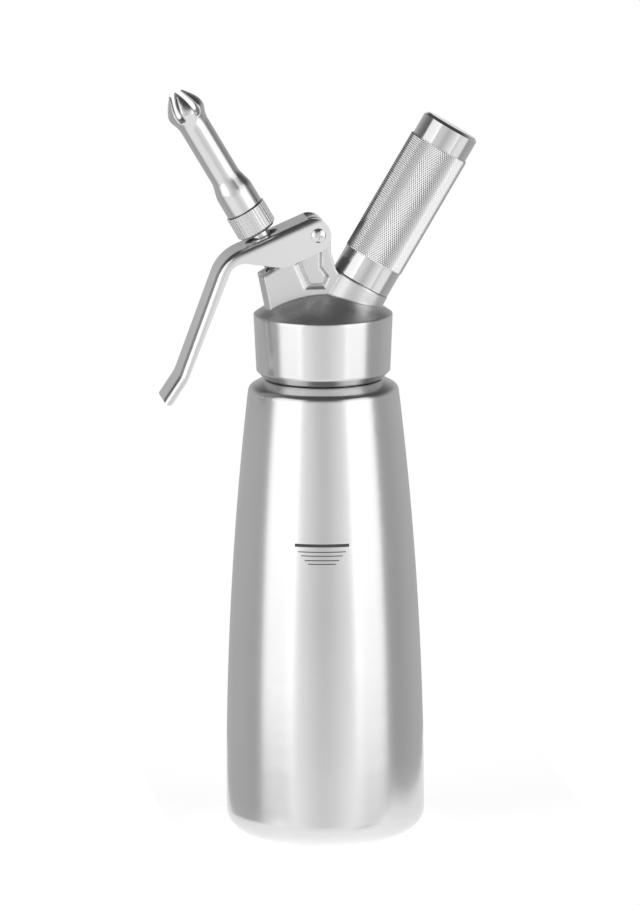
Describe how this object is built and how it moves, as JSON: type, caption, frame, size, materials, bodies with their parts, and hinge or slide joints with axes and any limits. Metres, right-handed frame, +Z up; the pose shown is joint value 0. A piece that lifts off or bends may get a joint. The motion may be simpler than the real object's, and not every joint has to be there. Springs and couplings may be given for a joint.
{
  "type": "whipped cream dispenser",
  "caption": "Steel flask with a screw-on cast head, a squeeze lever that opens a sprung valve, a tulip nozzle and a knurled screw-on gas charger holder.",
  "frame": {"origin": "centre of the flask's flat base", "axes": "+Z up along the flask; the nozzle and lever reach towards -X and the charger holder towards +X"},
  "size_m": [0.1275, 0.08, 0.3042],
  "materials": {
    "flask_steel": "brushed",
    "cast_aluminium": "satin",
    "polished_metal": "polished",
    "inner_steel": "turned",
    "rubber": "matt",
    "pale_plastic": "matt"
  },
  "bodies": {
    "flask": {"bottle": "flask_steel"},
    "gasket_carrier": {"head_gasket": "rubber"},
    "head_body": {"head": "cast_aluminium", "guide_bush": "pale_plastic", "stem_seal_ring": "rubber", "valve_spring": "inner_steel", "pivot_bush": "pale_plastic", "pivot_screw": "polished_metal", "pivot_nut": "polished_metal", "piercing_pin": "inner_steel", "charger_seal": "rubber", "check_spring": "inner_steel", "check_nut": "inner_steel"},
    "lever_body": {"lever": "cast_aluminium"},
    "valve": {"valve_stem": "polished_metal", "valve_plug": "inner_steel", "plug_seal": "rubber", "nozzle_adapter": "polished_metal"},
    "nozzle_washer": {"nozzle_gasket": "rubber"},
    "nozzle_body": {"nozzle": "polished_metal"},
    "ball": {"check_ball": "inner_steel"},
    "pad": {"charger_pad": "rubber"},
    "holder": {"holder_tube": "polished_metal", "knurled_sleeve": "cast_aluminium", "holder_cap": "polished_metal"}
  },
  "joints": [
    {"name": "head_lift", "type": "slide", "parent": "flask", "child": "gasket_carrier", "axis": [0, 0, 1], "range_m": [0, 0.024]},
    {"name": "head_turn", "type": "hinge", "parent": "gasket_carrier", "child": "head_body", "pos_m": [0, 0, 0.2045], "axis": [0, 0, 1], "range_deg": [0, 2165]},
    {"name": "lever_press", "type": "hinge", "parent": "head_body", "child": "lever_body", "pos_m": [-0.00293, 0, 0.24562], "axis": [0, -1, 0], "range_deg": [0, 7.55], "stiffness_Nm_per_rad": 1, "springref_deg": -24.06},
    {"name": "valve_slide", "type": "slide", "parent": "head_body", "child": "valve", "axis": [0.5045, 0, -0.8634], "range_m": [0, 0.00185], "deforming": ["valve_spring"]},
    {"name": "nozzle_lift", "type": "slide", "parent": "valve", "child": "nozzle_washer", "axis": [-0.5045, 0, 0.8634], "range_m": [0, 0.0075]},
    {"name": "nozzle_turn", "type": "hinge", "parent": "nozzle_washer", "child": "nozzle_body", "pos_m": [-0.03481, 0, 0.26173], "axis": [-0.5045, 0, 0.8634], "range_deg": [0, 2165]},
    {"name": "ball_slide", "type": "slide", "parent": "head_body", "child": "ball", "axis": [-0.512, 0, -0.859], "range_m": [0, 0.0008], "stiffness_N_per_m": 100, "springref_m": -0.001, "deforming": ["check_spring"]},
    {"name": "holder_lift", "type": "slide", "parent": "head_body", "child": "pad", "axis": [0.512, 0, 0.859], "range_m": [0, 0.0105]},
    {"name": "holder_turn", "type": "hinge", "parent": "pad", "child": "holder", "pos_m": [0.02023, 0, 0.23353], "axis": [0.512, 0, 0.859], "range_deg": [0, 2525]}
  ],
  "couplings": [
    {"joint": "head_turn", "follows": "head_lift", "rad_per_m": 1570.8},
    {"joint": "lever_press", "follows": "valve_slide", "rad_per_m": 70.771},
    {"joint": "nozzle_turn", "follows": "nozzle_lift", "rad_per_m": 5026.5},
    {"joint": "holder_turn", "follows": "holder_lift", "rad_per_m": 4188.8}
  ]
}
